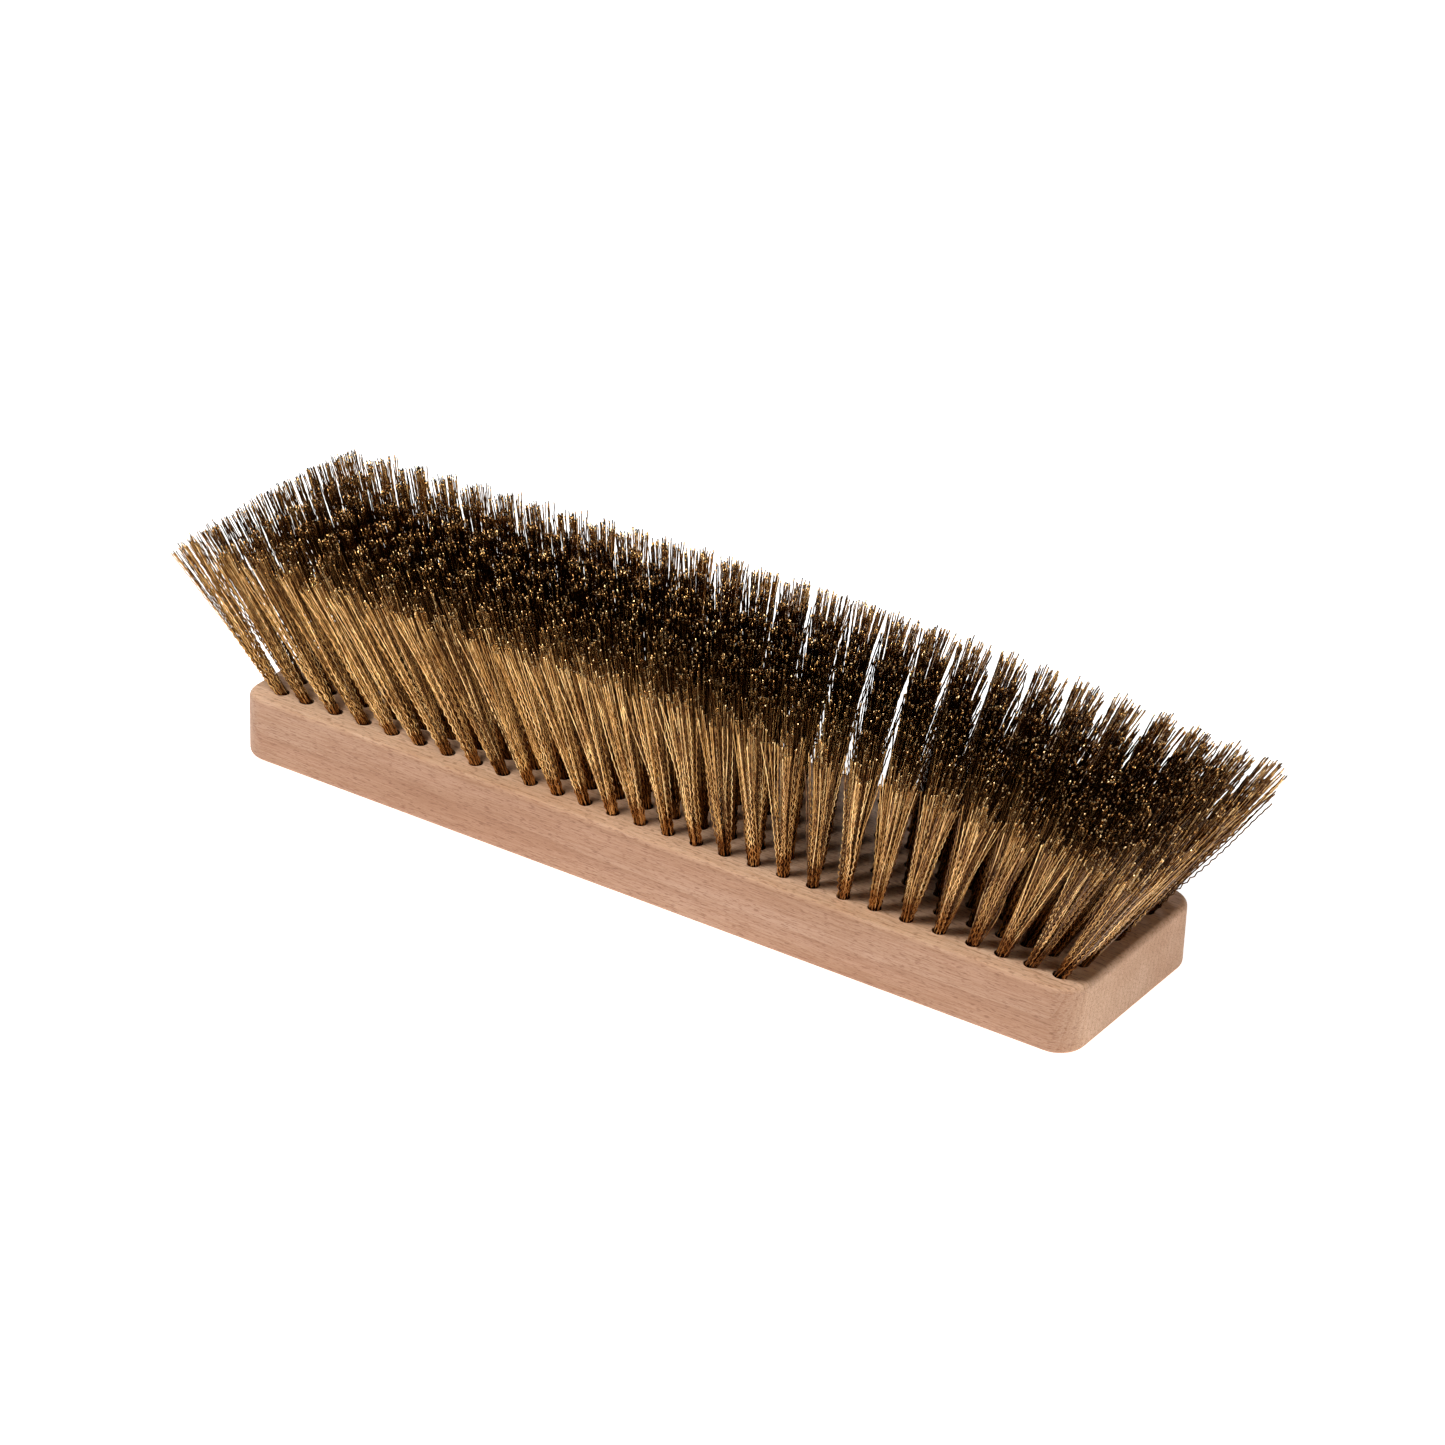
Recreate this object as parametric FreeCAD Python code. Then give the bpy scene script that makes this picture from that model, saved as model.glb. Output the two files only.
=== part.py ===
"""Wire brush head: a beech block set with seven rows of fanned, crimped brass-wire tufts.

Frame, in millimetres: +X runs along the block, +Y from its front face to its back face,
and +Z up through the tufts.  The origin is the centre of the block's flat resting face,
which lies on Z = 0.

Sub-parts, one STEP file each:
  beech_block                the drilled, rounded block
  tuft_column_01 .. _28      the seven wire tufts of one column, front row to back row
  tuft_anchor_column_01 ..   the seven flat-wire anchors that hold those tufts
Columns are numbered from the left end, which is the -X end.
"""
import FreeCAD, Part
import math
import os

from FreeCAD import Vector

# Block
BLOCK_LENGTH = 300.0
BLOCK_WIDTH = 72.0
BLOCK_THICKNESS = 21.5
CORNER_RADIUS = 9.0
EDGE_RADIUS = 2.0

# Drilled holes: seven staggered rows.  The pitch along a row opens out from the middle
# towards both ends, then closes again for the last holes.
ROW_COUNT = 7
COLUMN_COUNT = 28
ROW_PITCH = 9.2
MID_PITCH = 10.02
PITCH_GROWTH = 1.5
END_PITCH = 9.7
END_GAPS = (0, 24, 25, 26)
MID_GAP = 12
FIRST_HOLE_FROM_END = 10.8
STAGGER = 5.8
STAGGER_GROWTH_GAPS = 3
END_STAGGER = 1.6
STAGGER_FADE_START = 23
STAGGER_FADE_GAPS = 3
HOLE_DIAMETER = 4.2
HOLE_DEPTH = 15.0
DRILL_OVERRUN = 2.0

# Fan: the holes, and so the tufts, lean outwards in both directions, in degrees from
# upright.  Along X the lean grows with the distance from the fan's centre and eases off
# towards the left end, where the first column leans out a little more again.  Along Y it
# turns evenly from the front row to the back row.
FAN_CENTRE = 5.0
FAN_LEAN = 34.0
LEFT_EASE = 0.305
FIRST_COLUMN_EXTRA_LEAN = 4.0
FRONT_ROW_LEAN = -16.0
BACK_ROW_LEAN = 11.0

# Tufts: each one fills its hole and flares above it.  All are the same length above the
# block, so their ends lie on a gentle dome.
TUFT_LENGTH = 58.0
TIP_DIAMETER = 11.0
ROOT_CLEARANCE = 0.05
FLARE_START = 1.6

# Anchors: short flat-wire plates lying across each hole, inside the tuft's fold.
ANCHOR_THICKNESS = 0.45
ANCHOR_HEIGHT = 1.8
ANCHOR_ABOVE_BOTTOM = 1.3
ANCHOR_BITE = 0.25

HOLE_RADIUS = HOLE_DIAMETER / 2
ROOT_RADIUS = HOLE_RADIUS - ROOT_CLEARANCE
TIP_RADIUS = TIP_DIAMETER / 2
ANCHOR_WIDTH = HOLE_DIAMETER + 2 * ANCHOR_BITE
ANCHOR_BOTTOM = ANCHOR_ABOVE_BOTTOM - HOLE_DEPTH
MIDDLE_ROW = (ROW_COUNT - 1) / 2


def row_gap(gap):
    """Distance between hole number `gap` of a row and the next hole."""
    if gap in END_GAPS:
        return END_PITCH
    return MID_PITCH + PITCH_GROWTH * ((gap - MID_GAP) / MID_GAP) ** 2


def stagger(column):
    """How far an even row's hole lies to the right of the front row's hole."""
    if column < STAGGER_GROWTH_GAPS:
        return STAGGER * column / STAGGER_GROWTH_GAPS
    faded = min(max(column - STAGGER_FADE_START, 0) / STAGGER_FADE_GAPS, 1.0)
    return STAGGER + faded * (END_STAGGER - STAGGER)


def hole_axis(x, column, row):
    """Unit vector out of the hole in that column and row whose mouth is at x."""
    reach = (x - FAN_CENTRE) / (BLOCK_LENGTH / 2)
    ease = LEFT_EASE * reach**2 if reach < 0 else 0.0
    lean_x = FAN_LEAN * reach * (1 - ease)
    if column == 0:
        lean_x -= FIRST_COLUMN_EXTRA_LEAN
    lean_y = FRONT_ROW_LEAN + (BACK_ROW_LEAN - FRONT_ROW_LEAN) * row / (ROW_COUNT - 1)
    return Vector(tangent(lean_x), tangent(lean_y), 1).normalize()


def tangent(degrees):
    return math.tan(math.radians(degrees))


def hole_placements():
    """Every hole as a placement, in columns of rows.

    The placement's origin is the centre of the hole's mouth, its local Z runs out along
    the hole, and its local Y stays near +Y.
    """
    columns = []
    x = FIRST_HOLE_FROM_END - BLOCK_LENGTH / 2
    for column in range(COLUMN_COUNT):
        placements = []
        for row in range(ROW_COUNT):
            shift = stagger(column) if row % 2 else 0.0
            mouth = Vector(x + shift, (row - MIDDLE_ROW) * ROW_PITCH, BLOCK_THICKNESS)
            axis = hole_axis(mouth.x, column, row)
            turn = FreeCAD.Rotation(Vector(1, 0, 0), Vector(0, 1, 0), axis, "ZYX")
            placements.append(FreeCAD.Placement(mouth, turn))
        columns.append(placements)
        x += row_gap(column)
    return columns


def place(shape, placement):
    """A copy of the shape moved from the hole's local frame into the brush's frame."""
    moved = shape.copy()
    moved.Placement = placement
    return moved


def anchor_plate():
    """One anchor in the hole's frame, lying across the hole with its ends in the wood."""
    corner = Vector(-ANCHOR_THICKNESS / 2, -ANCHOR_WIDTH / 2, ANCHOR_BOTTOM)
    return Part.makeBox(ANCHOR_THICKNESS, ANCHOR_WIDTH, ANCHOR_HEIGHT, corner)


def hole_tool():
    """What one hole removes: the drilling, with the slots that the anchor bites."""
    length = HOLE_DEPTH + DRILL_OVERRUN
    drilling = Part.makeCylinder(HOLE_RADIUS, length, Vector(0, 0, -HOLE_DEPTH))
    return drilling.fuse(anchor_plate())


def wire_tuft():
    """One tuft in the hole's frame: its root, folded round the anchor, and its flare."""
    root_length = HOLE_DEPTH + FLARE_START
    root = Part.makeCylinder(ROOT_RADIUS, root_length, Vector(0, 0, -HOLE_DEPTH))
    flare_length = TUFT_LENGTH - FLARE_START
    flare = Part.makeCone(ROOT_RADIUS, TIP_RADIUS, flare_length, Vector(0, 0, FLARE_START))
    return root.fuse(flare).removeSplitter().cut(anchor_plate())


def beech_block(columns):
    """The block: rounded at its corners and edges, then drilled with every hole."""
    corner = Vector(-BLOCK_LENGTH / 2, -BLOCK_WIDTH / 2, 0)
    blank = Part.makeBox(BLOCK_LENGTH, BLOCK_WIDTH, BLOCK_THICKNESS, corner)
    upright = [edge for edge in blank.Edges if is_upright(edge)]
    blank = blank.makeFillet(CORNER_RADIUS, upright)
    rims = [edge for edge in blank.Edges if not is_upright(edge)]
    blank = blank.makeFillet(EDGE_RADIUS, rims)
    tool = hole_tool()
    tools = [place(tool, placement) for placements in columns for placement in placements]
    return blank.cut(tools)


def is_upright(edge):
    """True for a straight edge along Z."""
    first = edge.Vertexes[0].Point
    last = edge.Vertexes[-1].Point
    return abs(first.z - last.z) > BLOCK_THICKNESS / 2


def column_of(piece, placements):
    """One column's copies of a piece, as a group of separate solids."""
    return Part.makeCompound([place(piece, placement) for placement in placements])


def main():
    os.makedirs("parts", exist_ok=True)
    columns = hole_placements()
    tuft = wire_tuft().Solids[0]
    anchor = anchor_plate()
    shapes = {"beech_block": beech_block(columns)}
    for number, placements in enumerate(columns, start=1):
        shapes[f"tuft_column_{number:02d}"] = column_of(tuft, placements)
        shapes[f"tuft_anchor_column_{number:02d}"] = column_of(anchor, placements)
    for name, shape in shapes.items():
        solids = len(shape.Solids)
        print(f"{name}: {solids} solids, {shape.Volume:.0f} mm3, valid {shape.isValid()}")
        shape.exportStep(f"parts/{name}.step")


main()
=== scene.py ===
"""Wire brush head: the beech block as packed, and every tuft as a bundle of crimped brass wires."""
import math

import bpy
import numpy as np
from mathutils import Matrix, Vector


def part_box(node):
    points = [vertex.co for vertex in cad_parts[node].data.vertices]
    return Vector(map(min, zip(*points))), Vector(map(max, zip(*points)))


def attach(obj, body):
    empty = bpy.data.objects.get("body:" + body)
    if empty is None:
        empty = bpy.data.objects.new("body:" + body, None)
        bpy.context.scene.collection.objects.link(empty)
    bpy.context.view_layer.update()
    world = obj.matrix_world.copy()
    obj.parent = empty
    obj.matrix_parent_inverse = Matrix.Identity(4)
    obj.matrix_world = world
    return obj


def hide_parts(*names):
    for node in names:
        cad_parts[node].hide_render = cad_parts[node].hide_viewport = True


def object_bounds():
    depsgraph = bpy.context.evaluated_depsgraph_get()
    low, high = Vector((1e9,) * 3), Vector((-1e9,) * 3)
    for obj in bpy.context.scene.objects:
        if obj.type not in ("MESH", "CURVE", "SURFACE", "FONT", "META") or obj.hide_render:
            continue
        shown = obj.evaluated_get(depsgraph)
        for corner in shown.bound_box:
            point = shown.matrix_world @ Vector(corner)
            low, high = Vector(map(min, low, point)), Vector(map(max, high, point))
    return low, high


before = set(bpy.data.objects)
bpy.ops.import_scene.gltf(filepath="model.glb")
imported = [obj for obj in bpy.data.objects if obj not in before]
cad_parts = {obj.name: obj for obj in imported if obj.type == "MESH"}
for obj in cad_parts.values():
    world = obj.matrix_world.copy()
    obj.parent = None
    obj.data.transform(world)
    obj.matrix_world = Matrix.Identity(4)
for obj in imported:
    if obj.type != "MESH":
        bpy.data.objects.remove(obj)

CAD_BOX = [list(corner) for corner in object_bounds()]

MM = 0.001
PER_MM = 1000.0
SEED = 41

# Each tuft's wires.  A wire is a four-sided tube whose corner radius is WIRE_RADIUS, which
# looks as thick as a round wire of 0.40 mm.
ROWS = 7
WIRES_PER_TUFT = 46
WIRE_RADIUS = 0.22 * MM
WIRE_SIDES = 4
BENDS_PER_WIRE = 37
END_SLANT = 0.5
NEAR_AXIS = 6.0 * MM

# Where the wires stand in the hole, and how far down it they run.
GOLDEN_ANGLE = math.pi * (3 - math.sqrt(5))
BUNDLE_RADIUS = 1.7 * MM
LEAN_SHIFT = 0.55 * MM
ROOT_DEPTH = 12.0 * MM
ROOT_ANGLE_JITTER = 0.25

# How they fan out to their tips.  A share of them stray, and a share are cut short.
TIP_RADIUS = 5.6 * MM
TIP_SCATTER = 0.7 * MM
TIP_ANGLE_JITTER = 0.35
TIP_SPREAD = (0.8, 1.15)
STRAY_SHARE = 0.05
STRAY_REACH = (1.1, 1.5)
TRIM_UNEVENNESS = 1.3 * MM
SHORT_SHARE = 0.06
SHORT_LEAST = 0.3
SHORT_CUT = 3.5 * MM
BOX_MARGIN = 0.55 * MM
BOW = 0.1

# Wires gather in clumps, sway in two slow waves and carry a zigzag crimp that fades upwards.
CLUMPS = 7
CLUMP_PULL = 0.22
SWAY = 0.5 * MM
SWAY_WAVES = (1.0, 2.3)
SWAY_RISE = 3
CRIMP_HEIGHT = 0.35 * MM
CRIMP_SPREAD = (0.7, 1.25)
CRIMP_RISE = 4.8 * MM
CRIMP_LEAST = 0.25
CRIMP_FADE = 0.84

# The shares of dark, middling and bright wires in the inner and outer rows. The inner rows get more dark
# wires as painted shade, standing in for the shade inside the tuft field; within a row the mix of tones
# is random.
SHADED_INNER_TONES = (0.6, 0.32, 0.08)
OUTER_TONES = (0.3, 0.4, 0.3)

# The camera, in the frame's metres: where it stands and its right, up and view directions.
CAMERA_PLACE = Vector((0.72255, -1.10526, 0.75092))
CAMERA_RIGHT = Vector((0.82865, 0.55876, 0.03347))
CAMERA_UP = Vector((-0.28821, 0.37463, 0.88124))
CAMERA_AHEAD = Vector((-0.47987, 0.73989, -0.47148))
CAMERA_LENS = 125.15
CAMERA_SENSOR = 36.0

FLOOR_GLOW = 0.9


def srgb(red, green, blue):
    """A colour given as 0-255 display values, as the linear RGBA that shaders take."""
    linear = []
    for value in (red, green, blue):
        share = value / 255
        linear.append(share / 12.92 if share <= 0.04045 else ((share + 0.055) / 1.055) ** 2.4)
    return (*linear, 1.0)


# ---------------------------------------------------------------- materials


class Nodes:
    """A small helper that adds and links shader nodes."""

    def __init__(self, name):
        self.material = bpy.data.materials.new(name)
        self.material.use_nodes = True
        self.tree = self.material.node_tree
        self.shader = self.tree.nodes["Principled BSDF"]
        self.coordinates = self.tree.nodes.new("ShaderNodeTexCoord").outputs["Object"]

    def link(self, output, target):
        self.tree.links.new(output, target)

    def scaled(self, scale, offset=(0, 0, 0)):
        """Object coordinates multiplied by scale, so that a texture stretches."""
        node = self.tree.nodes.new("ShaderNodeMapping")
        node.inputs["Scale"].default_value = scale
        node.inputs["Location"].default_value = offset
        self.link(self.coordinates, node.inputs["Vector"])
        return node.outputs["Vector"]

    def noise(self, vector, detail, roughness=0.5):
        node = self.tree.nodes.new("ShaderNodeTexNoise")
        node.inputs["Scale"].default_value = 1.0
        node.inputs["Detail"].default_value = detail
        node.inputs["Roughness"].default_value = roughness
        self.link(vector, node.inputs["Vector"])
        return node.outputs["Fac"]

    def rings(self, vector, scale, distortion, detail, detail_scale):
        node = self.tree.nodes.new("ShaderNodeTexWave")
        node.wave_type = "RINGS"
        node.rings_direction = "X"
        node.wave_profile = "SAW"
        node.inputs["Scale"].default_value = scale
        node.inputs["Distortion"].default_value = distortion
        node.inputs["Detail"].default_value = detail
        node.inputs["Detail Scale"].default_value = detail_scale
        self.link(vector, node.inputs["Vector"])
        return node.outputs["Fac"]

    def ramp(self, factor, *stops):
        """A colour ramp: each stop is (place, colour)."""
        node = self.tree.nodes.new("ShaderNodeValToRGB")
        elements = node.color_ramp.elements
        while len(elements) < len(stops):
            elements.new(0.5)
        for element, (place, colour) in zip(elements, stops):
            element.position = place
            element.color = colour
        self.link(factor, node.inputs["Fac"])
        return node.outputs["Color"]

    def blend(self, factor, first, second, mode="MIX"):
        """A colour mix; factor is a socket or a number, and second a socket or a colour."""
        node = self.tree.nodes.new("ShaderNodeMix")
        node.data_type = "RGBA"
        node.blend_type = mode
        for name, value in (("Factor_Float", factor), ("A_Color", first), ("B_Color", second)):
            target = next(socket for socket in node.inputs if socket.identifier == name)
            if isinstance(value, bpy.types.NodeSocket):
                self.link(value, target)
            else:
                target.default_value = value
        return next(socket for socket in node.outputs if socket.identifier == "Result_Color")

    def spread(self, factor, low, high, from_low=0.0, from_high=1.0):
        """A value remapped from one range to another."""
        node = self.tree.nodes.new("ShaderNodeMapRange")
        node.inputs["From Min"].default_value = from_low
        node.inputs["From Max"].default_value = from_high
        node.inputs["To Min"].default_value = low
        node.inputs["To Max"].default_value = high
        self.link(factor, node.inputs["Value"])
        return node.outputs["Result"]

    def facing(self, axis, none, full):
        """Zero to one as the surface normal's part along an axis goes from none to full."""
        split = self.tree.nodes.new("ShaderNodeSeparateXYZ")
        self.link(self.tree.nodes.new("ShaderNodeTexCoord").outputs["Normal"], split.inputs["Vector"])
        return self.spread(split.outputs[axis], 0.0, 1.0, none, full)

    def bump(self, height, strength, distance):
        node = self.tree.nodes.new("ShaderNodeBump")
        node.inputs["Strength"].default_value = strength
        node.inputs["Distance"].default_value = distance
        self.link(height, node.inputs["Height"])
        self.link(node.outputs["Normal"], self.shader.inputs["Normal"])


def beech():
    """Steamed beech: growth rings, short dark ray flecks along the fibres, and fine pores."""
    nodes = Nodes("beech")
    ring_space = nodes.scaled((PER_MM, PER_MM, PER_MM), offset=(0, -190, 30))
    warp = nodes.noise(nodes.scaled((0.015 * PER_MM, 0.1 * PER_MM, 0.1 * PER_MM)), 3.0)
    rings = nodes.rings(ring_space, 0.13, 1.6, 2.0, 0.12)
    fibres = nodes.noise(nodes.scaled((0.09 * PER_MM, 2.2 * PER_MM, 2.2 * PER_MM)), 4.0, 0.6)
    flecks = nodes.noise(nodes.scaled((0.38 * PER_MM, 1.2 * PER_MM, 2.6 * PER_MM)), 1.5, 0.5)
    pores = nodes.noise(nodes.scaled((0.9 * PER_MM, 6.0 * PER_MM, 6.0 * PER_MM)), 1.0)
    patches = nodes.noise(nodes.scaled((0.01 * PER_MM, 0.05 * PER_MM, 0.05 * PER_MM)), 2.0)

    colour = nodes.ramp(warp, (0.35, srgb(235, 197, 163)), (0.65, srgb(246, 209, 177)))
    band = nodes.ramp(
        rings,
        (0.0, srgb(255, 255, 255)),
        (0.75, srgb(250, 244, 238)),
        (1.0, srgb(222, 206, 194)),
    )
    colour = nodes.blend(0.5, colour, band, "MULTIPLY")
    thread = nodes.ramp(fibres, (0.32, srgb(222, 206, 192)), (0.6, srgb(255, 255, 255)))
    colour = nodes.blend(0.8, colour, thread, "MULTIPLY")
    dash = nodes.spread(flecks, 0.0, 0.6, 0.56, 0.66)
    colour = nodes.blend(dash, colour, srgb(172, 122, 92))
    pore = nodes.spread(pores, 0.0, 0.35, 0.6, 0.72)
    colour = nodes.blend(pore, colour, srgb(150, 104, 78))
    tint = nodes.ramp(patches, (0.35, srgb(246, 238, 232)), (0.65, srgb(255, 255, 255)))
    colour = nodes.blend(1.0, colour, tint, "MULTIPLY")
    # Painted shade: the sides are coloured a shade darker than the top, and the front a shade darker
    # again, for the lesser light that falls on them.
    colour = nodes.blend(nodes.facing("Z", 0.9, 0.3), colour, srgb(229, 226, 226), "MULTIPLY")
    colour = nodes.blend(nodes.facing("Y", -0.1, -0.95), colour, srgb(207, 199, 197), "MULTIPLY")
    nodes.link(colour, nodes.shader.inputs["Base Color"])
    nodes.link(nodes.spread(fibres, 0.5, 0.68), nodes.shader.inputs["Roughness"])
    nodes.shader.inputs["Specular IOR Level"].default_value = 0.3
    nodes.bump(fibres, 0.3, 0.08 * MM)
    return nodes.material


def brass_wire(name, dull, fresh):
    """Drawn brass wire between a dull and a fresh tone, under a brown patina."""
    nodes = Nodes(name)
    tone = nodes.noise(nodes.scaled((0.9 * PER_MM, 0.9 * PER_MM, 0.06 * PER_MM)), 2.0, 0.6)
    stain = nodes.noise(nodes.scaled((0.25 * PER_MM, 0.25 * PER_MM, 0.12 * PER_MM)), 3.0, 0.6)
    colour = nodes.ramp(tone, (0.34, dull), (0.66, fresh))
    soil = nodes.ramp(stain, (0.32, srgb(160, 122, 92)), (0.6, srgb(255, 255, 255)))
    colour = nodes.blend(0.7, colour, soil, "MULTIPLY")
    nodes.link(colour, nodes.shader.inputs["Base Color"])
    nodes.shader.inputs["Metallic"].default_value = 1.0
    nodes.link(nodes.spread(stain, 0.2, 0.12, 0.3, 0.7), nodes.shader.inputs["Roughness"])
    return nodes.material


def cut_brass():
    """The bright sheared ends of the wires."""
    nodes = Nodes("cut_brass")
    shear = nodes.noise(nodes.scaled((1500, 1500, 1500)), 1.0)
    colour = nodes.ramp(shear, (0.35, srgb(150, 118, 80)), (0.6, srgb(222, 190, 142)))
    nodes.link(colour, nodes.shader.inputs["Base Color"])
    nodes.shader.inputs["Metallic"].default_value = 1.0
    nodes.link(nodes.spread(shear, 0.3, 0.5), nodes.shader.inputs["Roughness"])
    return nodes.material


def anchor_steel():
    """Flat anchor wire: grey steel with fine rolling lines."""
    nodes = Nodes("anchor_steel")
    lines = nodes.noise(nodes.scaled((9000, 600, 9000)), 3.0)
    colour = nodes.ramp(lines, (0.3, srgb(120, 120, 122)), (0.7, srgb(186, 186, 188)))
    nodes.link(colour, nodes.shader.inputs["Base Color"])
    nodes.shader.inputs["Metallic"].default_value = 1.0
    nodes.link(nodes.spread(lines, 0.3, 0.5), nodes.shader.inputs["Roughness"])
    nodes.bump(lines, 0.2, 0.01 * MM)
    return nodes.material


def paint_node(name, material):
    """Gives a CAD node's object a better material."""
    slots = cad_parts[name].data.materials
    slots.clear()
    slots.append(material)


# ---------------------------------------------------------------- tufts


def node_points(name):
    """The vertices of a CAD node, in metres."""
    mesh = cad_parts[name].data
    points = np.empty(len(mesh.vertices) * 3)
    mesh.vertices.foreach_get("co", points)
    return points.reshape(-1, 3)


def tuft_lines(column, block_top):
    """Mouth and tip of each tuft of a column, front to back.

    An anchor plate is centred on its hole and square to it, and its middle-sized side runs
    along the hole, so each plate gives its tuft's axis.
    """
    tufts = node_points(f"tuft_column_{column:02d}")
    corners = node_points(f"tuft_anchor_column_{column:02d}")
    corners = corners[np.argsort(corners[:, 1])]
    lines = []
    for plate in np.split(corners, ROWS):
        anchor = plate.mean(axis=0)
        axis = np.linalg.svd(plate - anchor)[2][1]
        axis *= np.sign(axis[2])
        mouth = anchor + axis * (block_top - anchor[2]) / axis[2]
        offsets = tufts - mouth
        along = offsets @ axis
        apart = np.linalg.norm(offsets - np.outer(along, axis), axis=1)
        lines.append((mouth, mouth + axis * along[apart < NEAR_AXIS].max()))
    return lines


def across(axis):
    """Two unit vectors at right angles to the axis, the first close to +X."""
    second = np.cross(axis, (1.0, 0.0, 0.0))
    second /= np.linalg.norm(second)
    return np.cross(second, axis), second


def wire_paths(mouth, tip, draw):
    """Centre lines of one tuft's wires, as an array of wires by bends by XYZ."""
    count = WIRES_PER_TUFT
    axis = tip - mouth
    reach = np.linalg.norm(axis)
    axis /= reach
    side, other = across(axis)
    order = np.arange(count)
    angle = order * GOLDEN_ANGLE + draw.uniform(0, 2 * math.pi)
    angle += draw.normal(0, ROOT_ANGLE_JITTER, count)
    share = np.sqrt((order + 0.5) / count)
    spread_angle = angle + draw.normal(0, TIP_ANGLE_JITTER, count)
    spread = TIP_RADIUS * share * draw.uniform(*TIP_SPREAD, count)
    strays = draw.random(count) < STRAY_SHARE
    spread *= np.where(strays, draw.uniform(*STRAY_REACH, count), 1.0)

    root = np.outer(BUNDLE_RADIUS * share * np.cos(angle), side)
    root += np.outer(BUNDLE_RADIUS * share * np.sin(angle), other)
    root += mouth + LEAN_SHIFT * (axis - np.array((0, 0, axis[2])))
    end = np.outer(spread * np.cos(spread_angle), side)
    end += np.outer(spread * np.sin(spread_angle), other)
    end += tip + np.outer(draw.normal(0, TIP_SCATTER, count), side)
    end += np.outer(draw.normal(0, TIP_SCATTER, count), other)
    cut = np.abs(draw.normal(0, TRIM_UNEVENNESS, count)) + WIRE_RADIUS
    shorts = draw.random(count) < SHORT_SHARE
    cut += np.where(shorts, draw.uniform(SHORT_LEAST, 1, count) * SHORT_CUT, 0)
    low = np.array(CAD_BOX[0]) + BOX_MARGIN
    high = np.array(CAD_BOX[1]) - BOX_MARGIN
    end -= np.outer(cut, axis)
    end = np.clip(end, low, high)

    steps = np.linspace(0, 1, BENDS_PER_WIRE)[None, :, None]
    bow = steps * (1 - BOW + BOW * steps)
    middle = mouth + (tip - mouth) * steps
    paths = middle + (root - mouth)[:, None] * (1 - bow) + (end - tip)[:, None] * bow
    clump = (spread_angle // (2 * math.pi / CLUMPS)).astype(int) % CLUMPS
    for number in np.unique(clump):
        mates = paths[clump == number]
        pull = CLUMP_PULL * np.sin(steps[0] * math.pi)
        paths[clump == number] += (mates.mean(axis=0) - mates) * pull
    for waves in SWAY_WAVES:
        heading = draw.uniform(0, 2 * math.pi, count)
        phase = draw.uniform(0, 2 * math.pi, (count, 1, 1))
        size = draw.normal(0, SWAY / waves, (count, 1, 1))
        drift = np.outer(np.cos(heading), side) + np.outer(np.sin(heading), other)
        swing = np.sin(steps * math.pi * waves + phase) * np.minimum(steps * SWAY_RISE, 1)
        paths += drift[:, None] * swing * size

    heading = draw.uniform(0, 2 * math.pi, count)
    bend = np.outer(np.cos(heading), side) + np.outer(np.sin(heading), other)
    turn = np.where(np.arange(BENDS_PER_WIRE) % 2, 1.0, -1.0)[None, :, None]
    height = CRIMP_HEIGHT * draw.uniform(*CRIMP_SPREAD, (count, 1, 1))
    grown = np.clip(steps * reach / CRIMP_RISE, CRIMP_LEAST, 1)
    paths += bend[:, None] * turn * height * grown * (1 - CRIMP_FADE * steps)

    bottom = mouth - axis * ROOT_DEPTH
    start = root + (bottom - mouth)
    return np.concatenate((start[:, None], paths), axis=1)


def wire_tones(draw):
    """A tone number for each wire of a column, drawn at random: the inner rows carry more dark wires as
    painted shade, so the outer rows are the brighter ones.
    """
    inner = draw.choice(len(SHADED_INNER_TONES), (ROWS - 2, WIRES_PER_TUFT), p=SHADED_INNER_TONES)
    outer = draw.choice(len(OUTER_TONES), (2, WIRES_PER_TUFT), p=OUTER_TONES)
    return np.concatenate((outer[:1], inner, outer[1:])).ravel()


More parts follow.
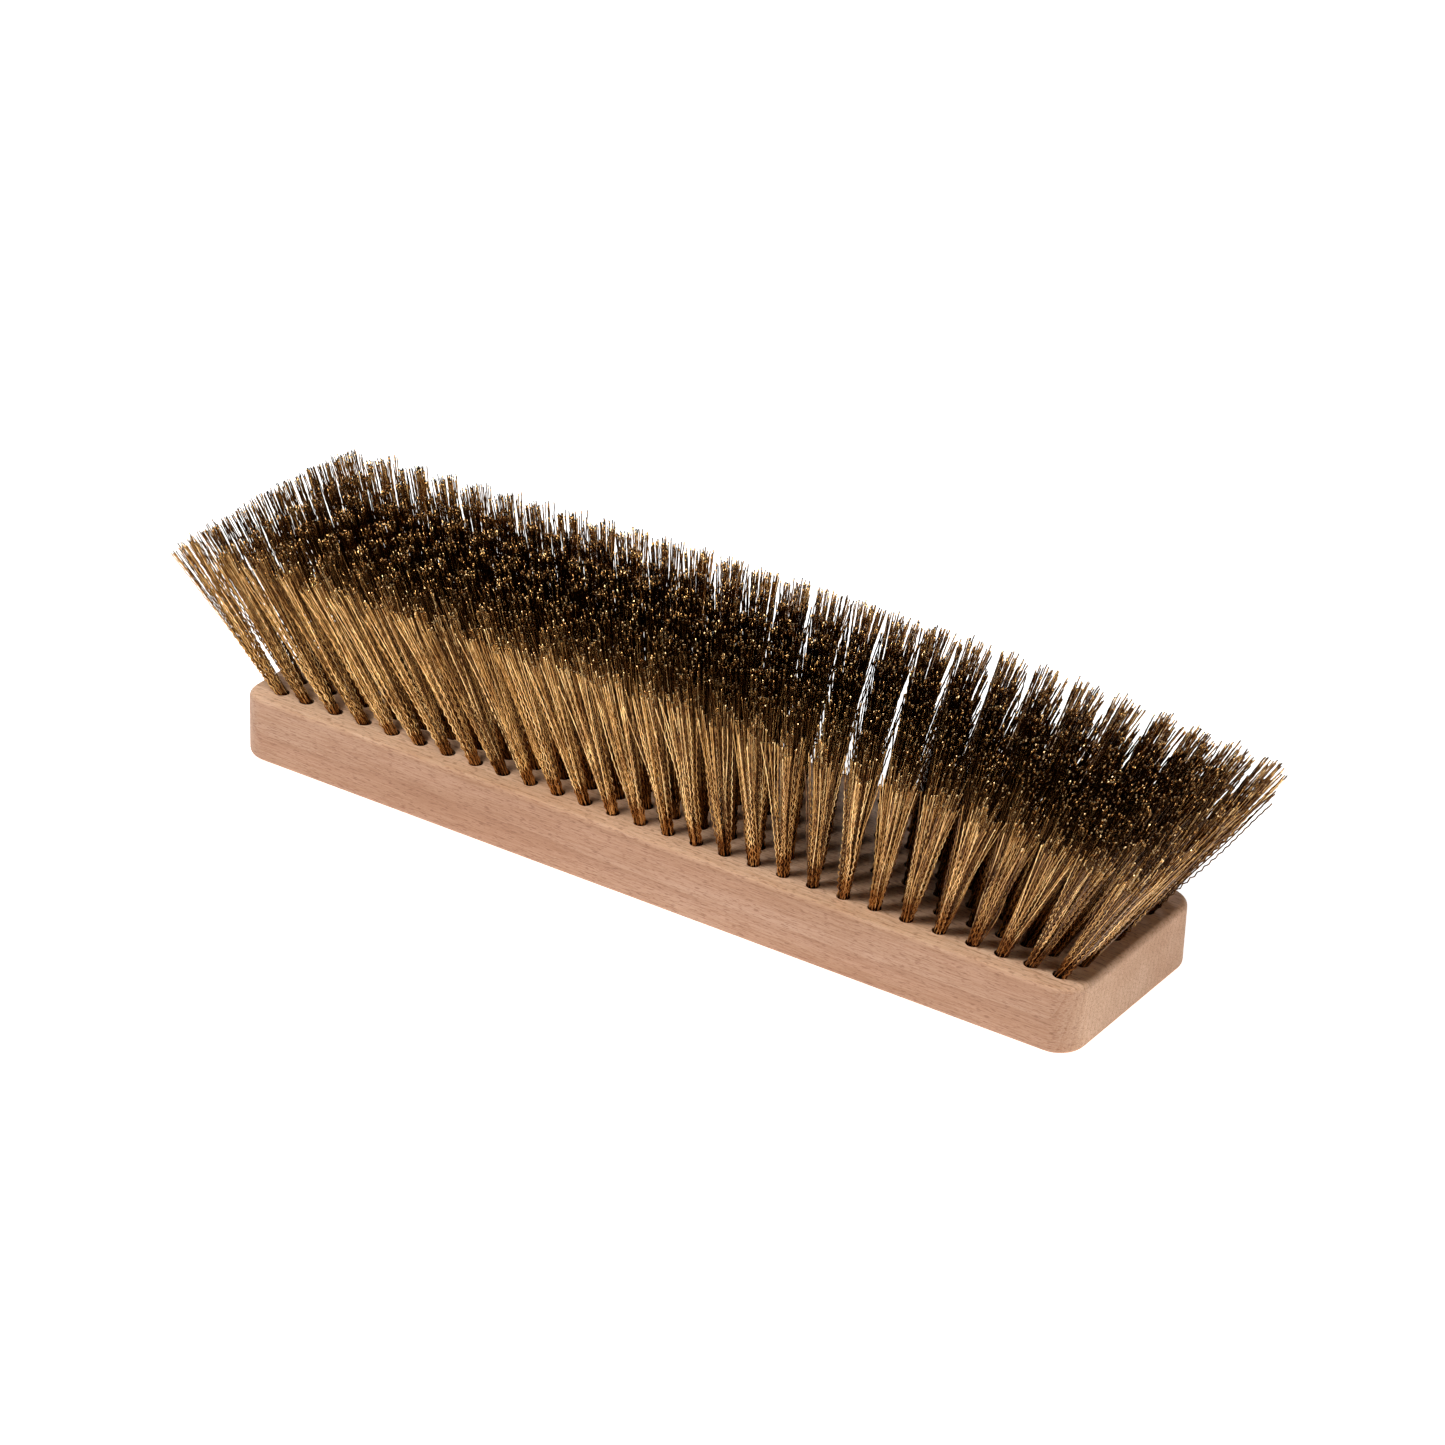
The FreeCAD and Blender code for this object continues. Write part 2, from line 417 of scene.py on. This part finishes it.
def tube_mesh(name, paths, radius, sides, tones, draw):
    """A mesh of wires along the paths, each in its tone's material and with sheared ends."""
    wires, bends, _ = paths.shape
    ahead = np.gradient(paths, axis=1)
    ahead /= np.linalg.norm(ahead, axis=2, keepdims=True)
    first = np.cross(ahead, (0.0, 1.0, 0.0))
    first /= np.linalg.norm(first, axis=2, keepdims=True)
    second = np.cross(ahead, first)
    angles = np.arange(sides) * 2 * math.pi / sides
    ring = np.cos(angles)[:, None] * first[:, :, None] + np.sin(angles)[:, None] * second[:, :, None]
    points = paths[:, :, None] + radius * ring
    slant = draw.normal(0, END_SLANT, (wires, 2))
    shear = slant[:, :1] * np.cos(angles) + slant[:, 1:] * np.sin(angles)
    points[:, -1] += radius * shear[:, :, None] * ahead[:, -1, None]
    low = np.array(CAD_BOX[0])
    high = np.array(CAD_BOX[1])
    points = np.clip(points, low, high).reshape(-1, 3)

    wire = np.arange(wires)[:, None, None] * bends * sides
    bend = np.arange(bends - 1)[None, :, None] * sides
    corner = np.arange(sides)[None, None, :]
    after = (corner + 1) % sides
    base = wire + bend
    quads = np.stack((base + corner, base + after, base + sides + after, base + sides + corner), axis=-1)
    quads = quads.reshape(-1, 4)
    starts = wire[:, 0] + np.arange(sides)[::-1]
    ends = wire[:, 0] + (bends - 1) * sides + np.arange(sides)
    caps = np.concatenate((starts, ends))

    mesh = bpy.data.meshes.new(name)
    mesh.vertices.add(len(points))
    mesh.vertices.foreach_set("co", points.ravel())
    loops = np.concatenate((quads.ravel(), caps.ravel())).astype(np.int32)
    mesh.loops.add(len(loops))
    mesh.loops.foreach_set("vertex_index", loops)
    sizes = np.concatenate((np.full(len(quads), 4), np.full(len(caps), sides)))
    begins = np.concatenate(((0,), np.cumsum(sizes)[:-1])).astype(np.int32)
    mesh.polygons.add(len(sizes))
    mesh.polygons.foreach_set("loop_start", begins)
    smooth = np.arange(len(sizes)) < len(quads)
    mesh.polygons.foreach_set("use_smooth", smooth)
    slots = np.repeat(tones, (bends - 1) * sides)
    slots = np.concatenate((slots, tones, np.full(wires, len(OUTER_TONES)))).astype(np.int32)
    mesh.polygons.foreach_set("material_index", slots)
    mesh.update(calc_edges=True)
    mesh.validate()
    return mesh


def add_piece(name, mesh, *materials):
    """Adds a mesh object that rides on the brush's one body."""
    piece = bpy.data.objects.new(name, mesh)
    bpy.context.scene.collection.objects.link(piece)
    for material in materials:
        mesh.materials.append(material)
    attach(piece, "root")
    return piece


def wire_columns(materials):
    """Replaces each column of tuft solids by its wires."""
    block_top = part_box("beech_block")[1][2]
    columns = sum(name.startswith("tuft_column_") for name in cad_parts)
    draw = np.random.default_rng(SEED)
    for column in range(1, columns + 1):
        tufts = [wire_paths(mouth, tip, draw) for mouth, tip in tuft_lines(column, block_top)]
        name = f"wires_column_{column:02d}"
        mesh = tube_mesh(name, np.concatenate(tufts), WIRE_RADIUS, WIRE_SIDES, wire_tones(draw), draw)
        piece = add_piece(name, mesh, *materials)
        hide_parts(f"tuft_column_{column:02d}")


# ---------------------------------------------------------------- stage


def floor():
    """A plain pale floor that gives off light of its own, as a light table does."""
    size = 6.0
    mesh = bpy.data.meshes.new("floor")
    corners = [(-size, -size, 0), (size, -size, 0), (size, size, 0), (-size, size, 0)]
    mesh.from_pydata(corners, [], [(0, 1, 2, 3)])
    nodes = Nodes("floor_white")
    haze = nodes.noise(nodes.scaled((3, 3, 3)), 2.0)
    colour = nodes.ramp(haze, (0, srgb(250, 250, 250)), (1, srgb(254, 254, 254)))
    nodes.link(colour, nodes.shader.inputs["Base Color"])
    nodes.shader.inputs["Roughness"].default_value = 0.9
    nodes.shader.inputs["Emission Color"].default_value = (1.0, 1.0, 1.0, 1.0)
    nodes.shader.inputs["Emission Strength"].default_value = FLOOR_GLOW
    mesh.materials.append(nodes.material)
    plane = bpy.data.objects.new("floor", mesh)
    bpy.context.scene.collection.objects.link(plane)


def area_light(name, place, target, size, power):
    """A square soft light that faces its target."""
    lamp = bpy.data.lights.new(name, "AREA")
    lamp.energy = power
    lamp.size = size
    holder = bpy.data.objects.new(name, lamp)
    holder.location = place
    holder.rotation_euler = (Vector(target) - Vector(place)).to_track_quat("-Z", "Y").to_euler()
    bpy.context.scene.collection.objects.link(holder)


def studio():
    """Soft studio light: pale low down all round, dark above, and the key in front on the left."""
    world = bpy.data.worlds.new("studio")
    world.use_nodes = True
    background = world.node_tree.nodes["Background"]
    tree = world.node_tree
    direction = tree.nodes.new("ShaderNodeTexCoord").outputs["Generated"]
    split = tree.nodes.new("ShaderNodeSeparateXYZ")
    tree.links.new(direction, split.inputs["Vector"])
    rise = tree.nodes.new("ShaderNodeValToRGB")
    low, high = rise.color_ramp.elements
    low.position, low.color = 0.1, (1.0, 1.0, 1.0, 1.0)
    high.position, high.color = 0.14, (0.03, 0.03, 0.03, 1.0)
    tree.links.new(split.outputs["Z"], rise.inputs["Fac"])
    tree.links.new(rise.outputs["Color"], background.inputs["Color"])
    bpy.context.scene.world = world
    area_light("key", (-0.4, -1.1, 1.7), (0, 0, 0.03), size=0.8, power=33)
    area_light("fill", (1.5, -1.0, 0.5), (0, 0, 0.03), size=0.8, power=6)
    area_light("back", (-0.9, 1.5, 1.1), (0, 0, 0.06), size=0.4, power=5)
    bpy.context.scene.view_settings.view_transform = "Standard"


def camera():
    """The camera that sees the brush from the front, above its right-hand end."""
    data = bpy.data.cameras.new("camera")
    data.lens = CAMERA_LENS
    data.sensor_width = CAMERA_SENSOR
    data.clip_start = 0.01
    data.clip_end = 50.0
    holder = bpy.data.objects.new("camera", data)
    turn = Matrix((CAMERA_RIGHT, CAMERA_UP, -CAMERA_AHEAD)).transposed()
    holder.matrix_world = Matrix.Translation(CAMERA_PLACE) @ turn.to_4x4()
    bpy.context.scene.collection.objects.link(holder)
    bpy.context.scene.camera = holder


camera()
floor()
studio()
paint_node("beech_block", beech())
steel = anchor_steel()
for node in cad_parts:
    if node.startswith("tuft_anchor_column_"):
        paint_node(node, steel)
# Three tones of brass wire. The dark tone is given more often to the inner rows, as painted shade.
wire_columns(
    (
        brass_wire("brass_dark", srgb(80, 52, 27), srgb(140, 100, 56)),
        brass_wire("brass_mid", srgb(164, 121, 68), srgb(220, 174, 108)),
        brass_wire("brass_bright", srgb(218, 170, 106), srgb(255, 222, 160)),
        cut_brass(),
    )
)
